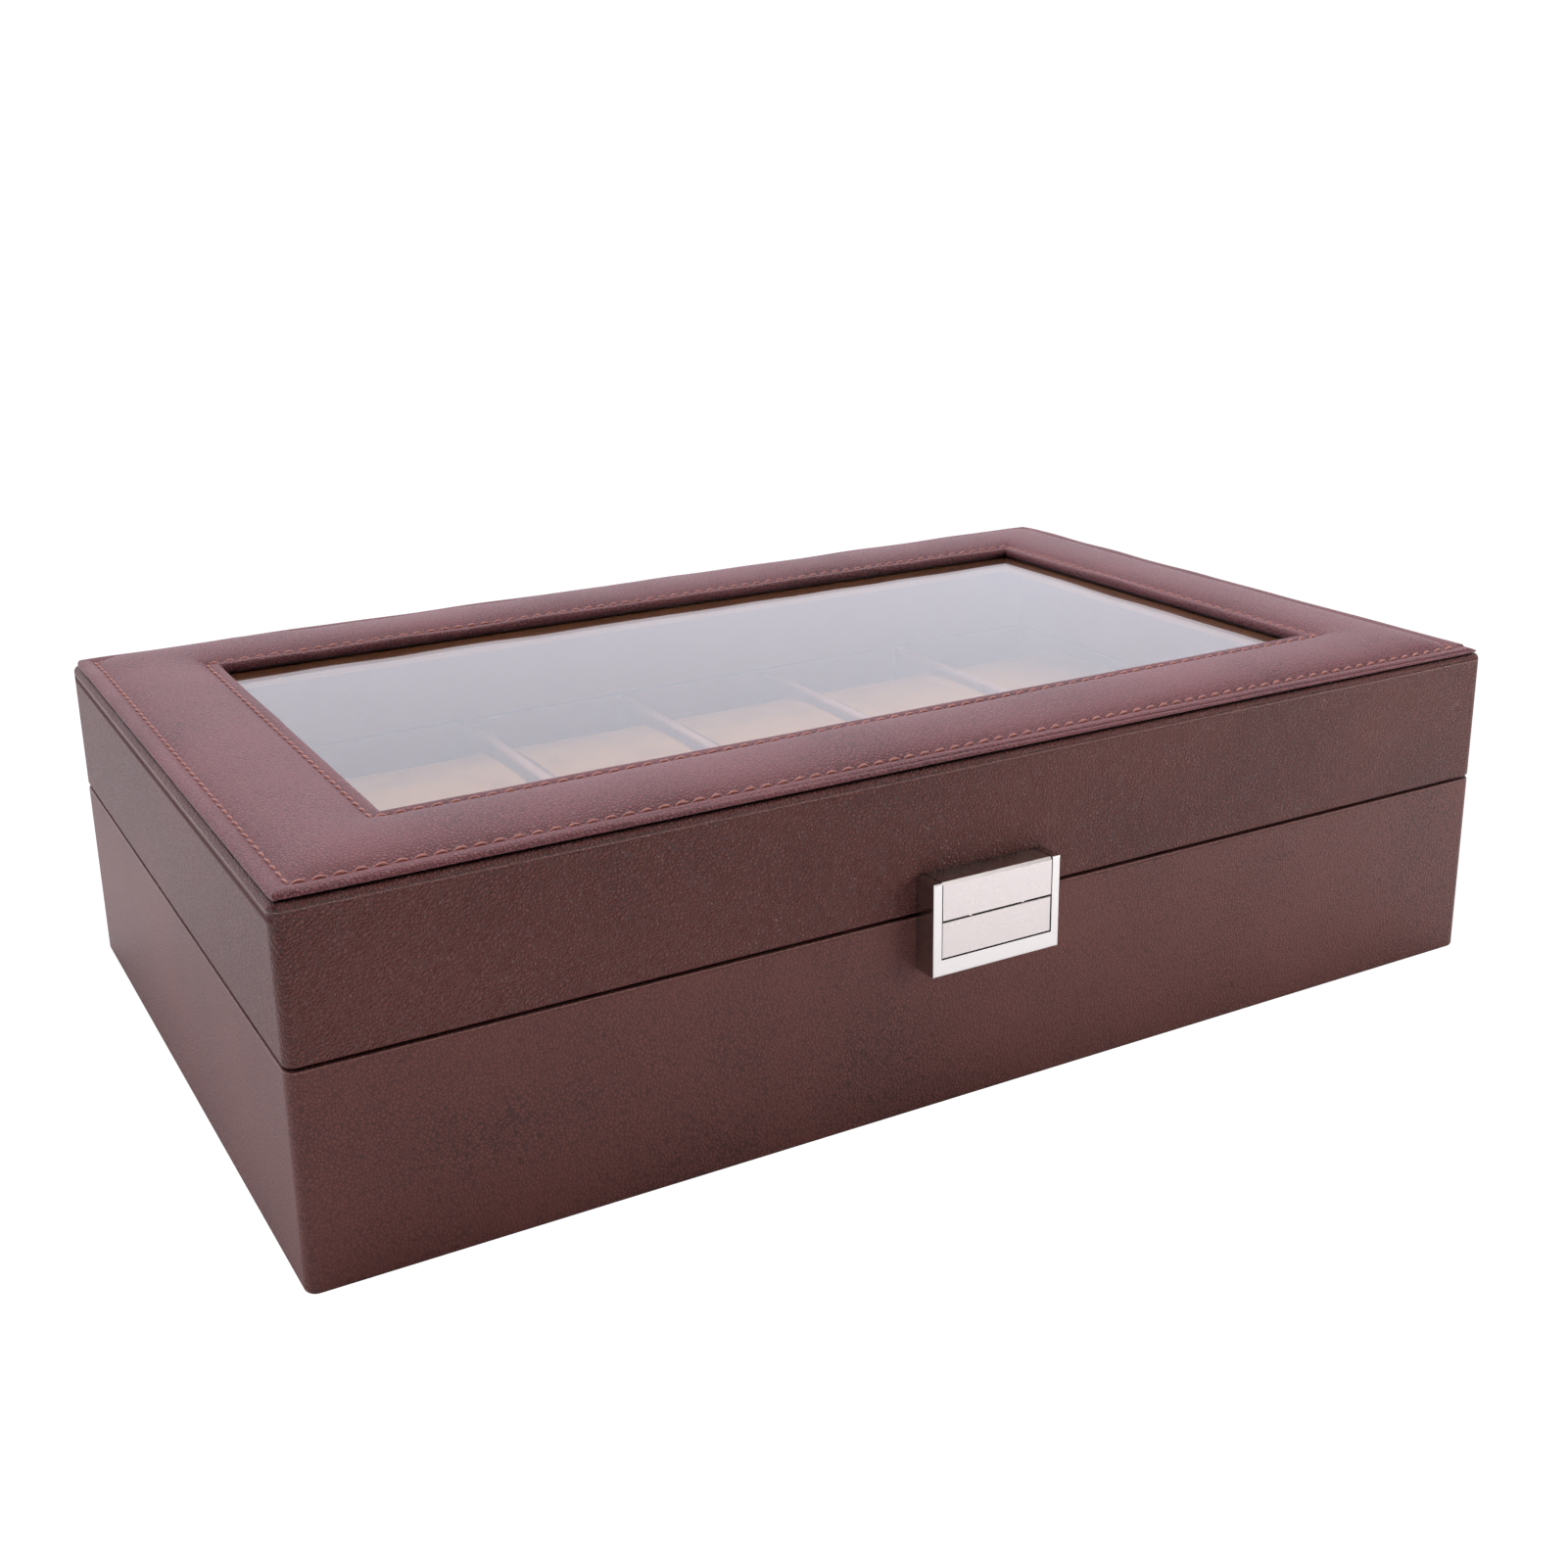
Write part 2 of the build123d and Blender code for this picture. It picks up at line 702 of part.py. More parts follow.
def hinge_lid_leaf(x):
    high = lid_rim + leaf
    with BuildPart() as piece:
        block((x - leaf_width / 2, leaf_front, lid_rim), (x + leaf_width / 2, box_depth / 2, high))
        knuckle_on(x - knuckle / 2, x + knuckle / 2, lid_rim, high)
        # The heel is placed as it lies with the lid open, then turned back with the lid
        with Locations(Location((x, axis_y, axis_z), (opening_angle, 0, 0))):
            with Locations((0, pin_radius + heel / 2, stop_gap)):
                Box(
                    knuckle,
                    barrel_radius + heel_reach - pin_radius - heel / 2,
                    heel,
                    align=(Align.CENTER, Align.MIN, Align.MIN),
                )
            with Locations((0, barrel_radius + knuckle_gap, stop_gap)):
                Box(
                    knuckle + 2 * heel_overlap,
                    heel_reach - knuckle_gap,
                    heel,
                    align=(Align.CENTER, Align.MIN, Align.MIN),
                )
        hinge_bore(x)
        screw_holes(hinge_screw_places(x, lid_rim + screw_sink), screw_up, hinge_screw_length)
    return piece


def hinge_pin(x):
    with BuildPart() as piece:
        rod((x, axis_y, axis_z), "x", leaf_width + 2 * pin_head, pin_radius)
        for side in (-1, 1):
            middle = x + side * (leaf_width / 2 + knuckle_gap + pin_head / 2)
            rod((middle, axis_y, axis_z), "x", pin_head, pin_head_radius)
    return piece


for side, x in hinge_places.items():
    save(hinge_base_leaf(x), f"hinge_base_leaf_{side}")
    save(hinge_lid_leaf(x), f"hinge_lid_leaf_{side}")
    save(hinge_pin(x), f"hinge_pin_{side}")

save(slotted_screws(base_hinge_screws, screw_down, hinge_screw_length - screw_fit), "hinge_base_screws")
save(slotted_screws(lid_hinge_screws, screw_up, hinge_screw_length - screw_fit), "hinge_lid_screws")
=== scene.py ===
import math

import bpy
import numpy as np
from mathutils import Matrix, Vector, noise


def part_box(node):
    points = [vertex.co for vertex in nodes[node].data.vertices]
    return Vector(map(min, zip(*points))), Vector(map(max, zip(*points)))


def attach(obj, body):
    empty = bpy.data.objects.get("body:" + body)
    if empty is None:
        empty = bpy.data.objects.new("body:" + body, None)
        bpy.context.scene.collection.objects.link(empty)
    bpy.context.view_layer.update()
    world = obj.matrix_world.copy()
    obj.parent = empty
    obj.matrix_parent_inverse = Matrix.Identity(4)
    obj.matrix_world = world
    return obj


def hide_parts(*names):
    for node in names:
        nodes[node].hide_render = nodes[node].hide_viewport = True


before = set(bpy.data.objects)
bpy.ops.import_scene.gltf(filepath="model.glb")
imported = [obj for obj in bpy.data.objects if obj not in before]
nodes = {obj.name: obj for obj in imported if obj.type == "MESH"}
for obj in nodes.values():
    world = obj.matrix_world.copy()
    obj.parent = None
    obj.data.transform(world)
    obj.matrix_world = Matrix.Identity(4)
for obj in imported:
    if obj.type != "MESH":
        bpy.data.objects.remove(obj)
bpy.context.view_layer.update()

mm = 0.001
print("frame loaded,", len(nodes), "nodes")


def hexColor(code):
    # sRGB hex to the linear colour that Blender works in
    channels = [int(code[i:i + 2], 16) / 255 for i in (1, 3, 5)]
    return [c / 12.92 if c <= 0.04045 else ((c + 0.055) / 1.055) ** 2.4 for c in channels] + [1.0]


def addNode(material, kind, inputs=None, stops=(), **settings):
    # a node with its settings, its values and its links, and on a ramp the places and colours of its stops
    node = material.node_tree.nodes.new(kind)
    for name, value in settings.items():
        setattr(node, name, value)
    for name, value in (inputs or {}).items():
        if isinstance(value, bpy.types.NodeSocket):
            material.node_tree.links.new(value, node.inputs[name])
        else:
            node.inputs[name].default_value = value
    if stops:
        for element, (place, code) in zip(node.color_ramp.elements, stops):
            element.position = place
            element.color = hexColor(code)
    return node


def newMaterial(name, **values):
    material = bpy.data.materials.new(name)
    material.use_nodes = True
    shader = material.node_tree.nodes["Principled BSDF"]
    for key, value in values.items():
        shader.inputs[key.replace("_", " ")].default_value = value
    return material, shader


def plug(material, socket, target):
    material.node_tree.links.new(socket, target)


def deselectAll():
    if bpy.context.object and bpy.context.object.mode != "OBJECT":
        bpy.ops.object.mode_set(mode="OBJECT")
    bpy.ops.object.select_all(action="DESELECT")


def makeActive(piece):
    deselectAll()
    piece.select_set(True)
    bpy.context.view_layer.objects.active = piece


def pickFaces(piece, test):
    # a new primitive is selected all over, so its points and edges are let go first
    for part in (piece.data.vertices, piece.data.edges):
        part.foreach_set("select", [False] * len(part))
    for face in piece.data.polygons:
        face.select = test(face.center)


def placeInMesh(piece):
    makeActive(piece)
    bpy.ops.object.transform_apply(location=True, rotation=True, scale=True)


def dress(piece, material):
    piece.data.materials.clear()
    piece.data.materials.append(material)
    for face in piece.data.polygons:
        face.material_index = 0


leatherette = {
    "wallColor": "#6D3932",
    # painted shade: the lid's leather is the base's leather drawn a little darker
    "lidColor": "#68362F",
    "wallShade": "#40201C",
    "padColor": "#7C4347",
    "padShade": "#451F21",
    "crevice": "#0C0302",  # painted shade, darkest in the seams, grooves and shut lines
    "creviceReach": 1.3,  # mm
    "creviceOpen": (0.2, 0.68),  # openness, from fully shaded to unshaded
    "pebble": 0.8,  # mm across one pebble, half as large again as the real one, which is too fine to show
    "pebbleFlank": 0.3,
    "pore": 0.3,  # mm
    "poreShare": 0.5,  # height of the pores against the pebbles
    "grainStrength": 0.7,
    "stretch": 40.0,  # mm across the soft patches where the sheet was pulled
    "gloss": (-0.08, 0.1),  # how far the roughness runs below and above its mean
    "rimBelow": 0.35,  # mm from the rim of the base down to its painted highlight line
    "ridgeBelow": 1.5,  # mm from the top of the lid down to the edge of the board that shows through the sheet
    "ridgeHalf": 0.55,  # mm, half its width
    "ridgeHigh": 0.5,  # mm
    # painted highlight along the ridge of the lid and the rim of the base
    "rubbed": "#A87C74",
    "rubbedPower": 1.6,  # how narrow the painted highlight line is
    "rubbedGrain": 0.45,  # share of the painted highlight between the pebbles
    "creaseBelow": 1.5,  # mm from the ridge down to the painted shade band on the left wall
    "creaseHalf": 1.1,  # mm
    "creaseShade": "#4E2A27",
    "creaseShare": 0.9,
    "creaseDull": 0.6,
    "leftFacing": -0.7,  # a normal's X below this is the left wall's
}


def makeLeatherette(name, color, shade, relief, roughness, ridgeZ=None, rubbed=0.0, creased=False):
    # PU leatherette, embossed with a fine pebble and pulled over board: satin, and mirror-like at a low angle
    material, shader = newMaterial(name, IOR=1.42)
    place = addNode(material, "ShaderNodeTexCoord").outputs["Object"]
    pebble = addNode(
        material, "ShaderNodeTexVoronoi",
        {"Vector": place, "Scale": 1 / (leatherette["pebble"] * mm), "Randomness": 1.0},
        feature="DISTANCE_TO_EDGE",
    ).outputs["Distance"]
    pillow = addNode(
        material, "ShaderNodeMapRange", {"Value": pebble, "From Max": leatherette["pebbleFlank"]},
        interpolation_type="SMOOTHSTEP",
    ).outputs["Result"]
    pore = addNode(
        material, "ShaderNodeTexNoise",
        {"Vector": place, "Scale": 1 / (leatherette["pore"] * mm), "Detail": 1.0},
    ).outputs["Fac"]
    patch = addNode(
        material, "ShaderNodeTexNoise",
        {"Vector": place, "Scale": 1 / (leatherette["stretch"] * mm), "Detail": 2.0},
    ).outputs["Fac"]
    tone = addNode(material, "ShaderNodeMath", {0: pillow, 1: patch}, operation="ADD").outputs[0]
    finish = addNode(
        material, "ShaderNodeValToRGB", {"Fac": tone}, stops=[(0.3, shade), (1.0, color)]).outputs["Color"]

    # painted shade: seams, grooves and shut lines are darkened where little is open
    openness = addNode(
        material, "ShaderNodeAmbientOcclusion", {"Distance": leatherette["creviceReach"] * mm}, samples=6)
    shadedAt, unshadedAt = leatherette["creviceOpen"]
    unshaded = addNode(
        material, "ShaderNodeMapRange",
        {"Value": openness.outputs["AO"], "From Min": shadedAt, "From Max": unshadedAt})
    finish = addNode(
        material, "ShaderNodeMixRGB",
        {"Fac": unshaded.outputs["Result"], "Color1": hexColor(leatherette["crevice"]), "Color2": finish},
    ).outputs["Color"]
    glossLow, glossHigh = leatherette["gloss"]
    rough = addNode(
        material, "ShaderNodeMapRange",
        {"Value": pore, "From Min": 0.3, "From Max": 0.7, "To Min": roughness + glossLow,
         "To Max": roughness + glossHigh},
    ).outputs["Result"]
    grain = addNode(
        material, "ShaderNodeMath", {0: pore, 1: leatherette["poreShare"], 2: pillow}, operation="MULTIPLY_ADD")
    bump = addNode(
        material, "ShaderNodeBump",
        {"Height": grain.outputs[0], "Strength": leatherette["grainStrength"], "Distance": relief * mm},
    ).outputs["Normal"]
    if ridgeZ is not None:
        # the edge of the board shows through the sheet as a ridge, and a painted highlight lightens its pebbles
        height = addNode(material, "ShaderNodeSeparateXYZ", {0: place}).outputs["Z"]
        away = addNode(material, "ShaderNodeMath", {0: height, 1: ridgeZ}, operation="SUBTRACT").outputs[0]
        near = addNode(material, "ShaderNodeMath", {0: away}, operation="ABSOLUTE").outputs[0]
        ridge = addNode(
            material, "ShaderNodeMapRange",
            {"Value": near, "From Max": leatherette["ridgeHalf"] * mm, "To Min": 1.0, "To Max": 0.0},
            interpolation_type="SMOOTHSTEP",
        ).outputs["Result"]
        bump = addNode(
            material, "ShaderNodeBump",
            {"Height": ridge, "Strength": 1.0, "Distance": leatherette["ridgeHigh"] * mm, "Normal": bump},
        ).outputs["Normal"]
        line = addNode(
            material, "ShaderNodeMath", {0: ridge, 1: leatherette["rubbedPower"]}, operation="POWER").outputs[0]
        grainy = addNode(
            material, "ShaderNodeMapRange", {"Value": pillow, "To Min": leatherette["rubbedGrain"]})
        worn = addNode(
            material, "ShaderNodeMath", {0: line, 1: grainy.outputs["Result"]}, operation="MULTIPLY").outputs[0]
        share = addNode(material, "ShaderNodeMath", {0: worn, 1: rubbed}, operation="MULTIPLY").outputs[0]
        finish = addNode(
            material, "ShaderNodeMixRGB",
            {"Fac": share, "Color1": finish, "Color2": hexColor(leatherette["rubbed"])},
        ).outputs["Color"]
    if creased:
        # painted shade: under that edge a soft dark band, on the left wall only, which is also made rougher
        sunk = addNode(
            material, "ShaderNodeMath", {0: away, 1: leatherette["creaseBelow"] * mm}, operation="ADD")
        deep = addNode(material, "ShaderNodeMath", {0: sunk.outputs[0]}, operation="ABSOLUTE").outputs[0]
        shadeBand = addNode(
            material, "ShaderNodeMapRange",
            {"Value": deep, "From Max": leatherette["creaseHalf"] * mm, "To Min": leatherette["creaseShare"],
             "To Max": 0.0},
            interpolation_type="SMOOTHSTEP",
        ).outputs["Result"]
        normal = addNode(material, "ShaderNodeTexCoord").outputs["Normal"]
        facing = addNode(material, "ShaderNodeSeparateXYZ", {0: normal}).outputs["X"]
        leftWall = addNode(
            material, "ShaderNodeMath", {0: facing, 1: leatherette["leftFacing"]}, operation="LESS_THAN")
        shadeBand = addNode(
            material, "ShaderNodeMath", {0: shadeBand, 1: leftWall.outputs[0]}, operation="MULTIPLY").outputs[0]
        finish = addNode(
            material, "ShaderNodeMixRGB",
            {"Fac": shadeBand, "Color1": finish, "Color2": hexColor(leatherette["creaseShade"])},
        ).outputs["Color"]
        rough = addNode(
            material, "ShaderNodeMath", {0: shadeBand, 1: leatherette["creaseDull"], 2: rough},
            operation="MULTIPLY_ADD",
        ).outputs[0]
    plug(material, finish, shader.inputs["Base Color"])
    plug(material, rough, shader.inputs["Roughness"])
    plug(material, bump, shader.inputs["Normal"])
    return material


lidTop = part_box("lid_leather_wrap")[1].z
# the lid: painted shade in its colour and on its left wall, and a painted highlight along its top edge
lidLeather = makeLeatherette(
    "leatheretteLid", leatherette["lidColor"], leatherette["wallShade"], relief=0.3, roughness=0.42,
    ridgeZ=lidTop - leatherette["ridgeBelow"] * mm, rubbed=0.7, creased=True)
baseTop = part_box("base_leather_wrap")[1].z
# the base: a painted highlight along its rim
baseLeather = makeLeatherette(
    "leatheretteBase", leatherette["wallColor"], leatherette["wallShade"], relief=0.1, roughness=0.44,
    ridgeZ=baseTop - leatherette["rimBelow"] * mm, rubbed=0.6)
padLeather = makeLeatherette(
    "leatherettePadded", leatherette["padColor"], leatherette["padShade"], relief=0.16, roughness=0.42)

velvet = {
    "cushion": "#D29A5C",
    "cushionShade": "#B67E46",
    "divider": "#B08470",
    "dividerShade": "#946A58",
    "dividerTop": "#D2A48C",
    "worn": 1.0,  # mm down from the top edges of the dividers, where a painted highlight lightens the pile
    "lining": "#A26C4A",
    "liningShade": "#845236",
    "ceiling": "#C58D58",
    "ceilingShade": "#A6723E",
    "sheen": "#F0DCC0",
    "nap": 0.5,  # mm, tufts drawn coarser than the real pile
    "napHigh": 0.15,  # mm
    "brushed": 14.0,  # mm across the patches where the pile lies another way
}


def makeVelvet(name, color, shade, wornZ=None):
    # flocked velveteen: matt, short pile; given a top height, a painted highlight lightens it towards that top
    # edge
    material, shader = newMaterial(
        name, Roughness=0.95, Sheen_Weight=0.6, Sheen_Roughness=0.4, Specular_IOR_Level=0.15)
    shader.inputs["Sheen Tint"].default_value = hexColor(velvet["sheen"])
    place = addNode(material, "ShaderNodeTexCoord").outputs["Object"]
    nap = addNode(
        material, "ShaderNodeTexNoise",
        {"Vector": place, "Scale": 1 / (velvet["nap"] * mm), "Detail": 3.0, "Roughness": 0.7},
    ).outputs["Fac"]
    brushed = addNode(
        material, "ShaderNodeTexNoise",
        {"Vector": place, "Scale": 1 / (velvet["brushed"] * mm), "Detail": 2.0},
    ).outputs["Fac"]
    tone = addNode(material, "ShaderNodeMath", {0: nap, 1: brushed}, operation="ADD").outputs[0]
    pile = addNode(
        material, "ShaderNodeValToRGB", {"Fac": tone}, stops=[(0.7, shade), (1.0, color)]).outputs["Color"]
    if wornZ is not None:
        # painted highlight along the top edge
        height = addNode(material, "ShaderNodeSeparateXYZ", {0: place}).outputs["Z"]
        top = addNode(
            material, "ShaderNodeMapRange",
            {"Value": height, "From Min": wornZ - velvet["worn"] * mm, "From Max": wornZ})
        pile = addNode(
            material, "ShaderNodeMixRGB",
            {"Fac": top.outputs["Result"], "Color1": pile, "Color2": hexColor(velvet["dividerTop"])},
        ).outputs["Color"]
    bump = addNode(
        material, "ShaderNodeBump", {"Height": nap, "Strength": 0.5, "Distance": velvet["napHigh"] * mm})
    plug(material, pile, shader.inputs["Base Color"])
    plug(material, bump.outputs["Normal"], shader.inputs["Normal"])
    return material


cushionVelvet = makeVelvet("velveteenCushion", velvet["cushion"], velvet["cushionShade"])
dividerVelvet = makeVelvet(
    "velveteenDivider", velvet["divider"], velvet["dividerShade"], wornZ=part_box("long_divider")[1].z)
liningVelvet = makeVelvet("velveteenLining", velvet["lining"], velvet["liningShade"])
ceilingVelvet = makeVelvet("velveteenCeiling", velvet["ceiling"], velvet["ceilingShade"])

nickel = {
    "frame": "#E4DFDC",
    # the plates are the frame's plating drawn a little darker, a painted shade
    "plate": "#D8CFCC",
    "hinge": "#B9B2A8",
    # painted shade: the sides are drawn darker than the face, and darker still where little is open
    "side": "#C6BAB3",
    "tarnish": "#0E0908",
    "slit": 0.8,  # mm, how narrow a gap is to be painted dark
    "slitOpen": (0.3, 0.65),  # openness, from painted black to unshaded
    "rub": 6.0,  # mm across the cloudy patches that handling leaves
    "gloss": (-0.03, 0.05),  # how far the roughness runs below and above its mean
    "ripple": 3.5,  # mm across the unevenness of the casting
    "rippleHigh": 0.03,  # mm
    "frontFacing": (-0.6, -0.1),  # a normal's Y, from a face at the front to a side
}


def makeNickel(name, color, roughness):
    # nickel-plated zinc casting: its face polished and clouded by handling; painted shade draws its sides darker
    # and its slits and gaps near black
    material, shader = newMaterial(name, Metallic=1.0)
    coordinates = addNode(material, "ShaderNodeTexCoord")
    place = coordinates.outputs["Object"]
    facing = addNode(material, "ShaderNodeSeparateXYZ", {0: coordinates.outputs["Normal"]}).outputs["Y"]
    frontAt, sideAt = nickel["frontFacing"]
    front = addNode(
        material, "ShaderNodeMapRange",
        {"Value": facing, "From Min": frontAt, "From Max": sideAt, "To Min": 1.0, "To Max": 0.0})
    openness = addNode(material, "ShaderNodeAmbientOcclusion", {"Distance": nickel["slit"] * mm}, samples=8)
    blackAt, unshadedAt = nickel["slitOpen"]
    unshaded = addNode(
        material, "ShaderNodeMapRange",
        {"Value": openness.outputs["AO"], "From Min": blackAt, "From Max": unshadedAt})
    side = addNode(
        material, "ShaderNodeValToRGB", {"Fac": unshaded.outputs["Result"]},
        stops=[(0.0, nickel["tarnish"]), (1.0, nickel["side"])])
    finish = addNode(
        material, "ShaderNodeMixRGB",
        {"Fac": front.outputs["Result"], "Color1": side.outputs["Color"], "Color2": hexColor(color)})
    cloud = addNode(
        material, "ShaderNodeTexNoise",
        {"Vector": place, "Scale": 1 / (nickel["rub"] * mm), "Detail": 4.0, "Roughness": 0.6})
    glossLow, glossHigh = nickel["gloss"]
    rough = addNode(
        material, "ShaderNodeMapRange",
        {"Value": cloud.outputs["Fac"], "From Min": 0.3, "From Max": 0.7, "To Min": roughness + glossLow,
         "To Max": roughness + glossHigh})
    ripple = addNode(
        material, "ShaderNodeTexNoise",
        {"Vector": place, "Scale": 1 / (nickel["ripple"] * mm), "Detail": 1.0})
    bump = addNode(
        material, "ShaderNodeBump",
        {"Height": ripple.outputs["Fac"], "Strength": 0.2, "Distance": nickel["rippleHigh"] * mm})
    plug(material, finish.outputs["Color"], shader.inputs["Base Color"])
    plug(material, rough.outputs["Result"], shader.inputs["Roughness"])
    plug(material, bump.outputs["Normal"], shader.inputs["Normal"])
    return material


frameNickel = makeNickel("nickelPolished", nickel["frame"], 0.2)
# the plates: painted shade in their colour, and a higher roughness from handling
plateNickel = makeNickel("nickelRubbed", nickel["plate"], 0.26)
hingeNickel = makeNickel("nickelSatin", nickel["hinge"], 0.34)

# float glass, 2 mm: clear, with a breath of blue, and mirror-like at a low angle
paneGlass, paneShader = newMaterial(
    "floatGlass", Roughness=0.0, IOR=1.52, Transmission_Weight=1.0)
paneShader.inputs["Base Color"].default_value = hexColor("#F4F7FA")

fibreSize = {"board": 0.8, "felt": 0.7, "thread": 0.4}  # mm

# MDF, sawn edges: pale brown, matt, with fine fibres
fibreboard, fibreShader = newMaterial("mdfBoard", Roughness=0.85)
fibrePlace = addNode(fibreboard, "ShaderNodeTexCoord").outputs["Object"]
fibre = addNode(
    fibreboard, "ShaderNodeTexNoise",
    {"Vector": fibrePlace, "Scale": 1 / (fibreSize["board"] * mm), "Detail": 4.0})
fibreColor = addNode(
    fibreboard, "ShaderNodeValToRGB", {"Fac": fibre.outputs["Fac"]}, stops=[(0.3, "#9A7B57"), (0.7, "#B59470")])
plug(fibreboard, fibreColor.outputs["Color"], fibreShader.inputs["Base Color"])

# needled felt, dark brown, laid under the box
feltCloth, feltShader = newMaterial("needledFelt", Roughness=0.98, Sheen_Weight=0.3)
feltPlace = addNode(feltCloth, "ShaderNodeTexCoord").outputs["Object"]
feltFibre = addNode(
    feltCloth, "ShaderNodeTexNoise",
    {"Vector": feltPlace, "Scale": 1 / (fibreSize["felt"] * mm), "Detail": 6.0},
).outputs["Fac"]
feltColor = addNode(
    feltCloth, "ShaderNodeValToRGB", {"Fac": feltFibre}, stops=[(0.35, "#1E1512"), (0.65, "#33241F")])
feltBump = addNode(feltCloth, "ShaderNodeBump", {"Height": feltFibre, "Strength": 0.6, "Distance": 0.3 * mm})
plug(feltCloth, feltColor.outputs["Color"], feltShader.inputs["Base Color"])
plug(feltCloth, feltBump.outputs["Normal"], feltShader.inputs["Normal"])

# bonded polyester thread, rust red: round, with a soft gloss and the twist of its plies
threadFibre, threadShader = newMaterial("polyesterThread", Roughness=0.4, Sheen_Weight=0.3)
threadPlace = addNode(threadFibre, "ShaderNodeTexCoord").outputs["Object"]
threadPly = addNode(
    threadFibre, "ShaderNodeTexNoise",
    {"Vector": threadPlace, "Scale": 1 / (fibreSize["thread"] * mm), "Detail": 1.0})
threadColor = addNode(
    threadFibre, "ShaderNodeValToRGB", {"Fac": threadPly.outputs["Fac"]},
    stops=[(0.3, "#8C4A3F"), (0.7, "#B66A5A")])
plug(threadFibre, threadColor.outputs["Color"], threadShader.inputs["Base Color"])
print("materials made")


finishes = {
    "base_leather": baseLeather,
    "lid_leather": lidLeather,
    "pad_leather": padLeather,
    "base_felt": feltCloth,
    "glass": paneGlass,
    "clasp_frame": frameNickel,
    "clasp_button": plateNickel,
    "clasp_keeper": plateNickel,
    "clasp_screws": hingeNickel,
    "keeper": hingeNickel,
    "hinge": hingeNickel,
    "button_spring": hingeNickel,
    "base_lining": liningVelvet,
    "base_floor": liningVelvet,
    "lid_lining": liningVelvet,
    "lid_ceiling": ceilingVelvet,
    "long_divider": dividerVelvet,
    "short_divider": dividerVelvet,
    "watch_cushion": cushionVelvet,
    "base_": fibreboard,
    "lid_": fibreboard,
    "pad_": fibreboard,
}
for nodeName, node in nodes.items():
    for start, material in finishes.items():
        if nodeName.startswith(start):
            dress(node, material)
            break
print("CAD nodes dressed")


border = {
    "corners": {(-1, -1): 1.2, (1, -1): 1.6, (-1, 1): 1.8, (1, 1): 5.5},  # mm, and so on down this list
    "cornerReach": 7.0,  # how far from a corner its rounding starts
    "stitchIn": 4.2,  # outer edge to the outer row of stitches
    "windowStitchIn": 3.0,  # window edge to the inner row
    "groove": 79.25,
    "windowGroove": 79.95,
    # the turned hems: distance from the edge and height
    "hem": [
        (0, 78.8), (0.1, 79.12), (0.4, 79.5), (0.95, 79.8), (1.7, 79.95), (2.3, 79.9), (2.8, 79.8),
        (3.5, 79.56), (4.2, 79.25)],
    "creasedHem": [
        (0, 78.8), (0.1, 79.05), (0.4, 79.22), (0.7, 79.22), (0.95, 78.92), (1.15, 78.92), (1.4, 79.3),
        (1.7, 79.5), (2.3, 79.58), (2.8, 79.58), (3.5, 79.48), (4.2, 79.2)],
    "creased": (-90, 20),  # along the front, from the plain hem to the creased one
    "windowHem": [
        (0, 79.1), (0.1, 79.7), (0.3, 80.15), (0.65, 80.42), (1.1, 80.5), (1.8, 80.42), (2.4, 80.25),
        (3.0, 79.95)],
    # both rims are rolled under: inset and height
    "rim": [(0.12, 78.72), (0.0, 78.64), (0.05, 78.54), (0.3, 78.5), (1.3, 78.5)],
    "rimFoot": (1.4, 0.06),  # inset, and height over the lid
    "windowRim": 0.4,  # what the rim at the window is rolled in at most
    "windowZone": 10,  # points nearer the window than this belong to its rim
    "windowEdge": 1,  # and those nearer than this to one of its sides lie on that side
    "backDrop": 0.5,  # the hem lies lower along the back and the right
    "dropBack": (72, 84),  # where that starts and is full, along Y
    "dropRight": (40, 150),  # and along X
    "dropReach": 2.5,  # how far it goes on into the padding
    "crown": 2.162,  # the padding over its two rows of stitches
    "rise": 0.12,  # and right beside them
    "riseReach": 1.1,
    "fullness": 0.62,  # the lower, the flatter the padding is on top
    "soft": 7.0,  # how far the corners of the padding are rounded off
    "step": 0.75,  # mesh spacing along the sides
    "stitchPitch": 3.78,
    "pucker": 0.13,  # between stitches
    "puckerReach": 0.8,  # how far it goes into the padding
    "hemPucker": 1.1,  # and into the hem
    "slack": (0.1, 0.3),  # of the hem in front and at the back, which was pulled less evenly
    "slackLength": 21,
    "wave": 0.22,  # unevenness of the padding
    "shortWave": 0.055,
    "waveLengths": (34, 13),
    "backWave": 0.5,  # and more of it towards the back
    "backWaveLength": 15,
}
coverLow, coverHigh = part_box("pad_leather_cover")
outerHalf = [coverHigh.x / mm, coverHigh.y / mm]
windowHalf = [119.5, 61.5]
seatZ = coverLow.z / mm

# mesh lines across the border, from its outer edge to the window in mm
acrossBorder = [
    0, 0.1, 0.22, 0.4, 0.7, 0.82, 0.95, 1.15, 1.28, 1.4, 1.7, 2.3, 2.8, 3.3, 3.65, 3.95, 4.2, 4.45, 4.75, 5.2,
    5.8, 6.6, 7.7, 9, 10.7, 12.6, 14.6, 16.6, 18.6, 20.4, 22, 23.3, 24.3, 25.1, 25.7, 26.2, 26.5, 26.8, 27.05,
    27.4, 27.8, 28.2, 28.6, 28.95, 29.2, 29.4, 29.55, 29.68, 29.8,
]


def gridLines(outer, window):
    span = outer - window
    side = [outer - d * span / acrossBorder[-1] for d in acrossBorder]
    cells = round(2 * window / border["step"])
    middle = [-window + 2 * window * i / cells for i in range(1, cells)]
    return [-v for v in side] + middle + side[::-1]


def smoothMin(a, b, k):
    h = np.clip(0.5 + 0.5 * (b - a) / k, 0, 1)
    return b * (1 - h) + a * h - k * h * (1 - h)


def blend(value, low, high):
    return min(max((value - low) / (high - low), 0), 1)


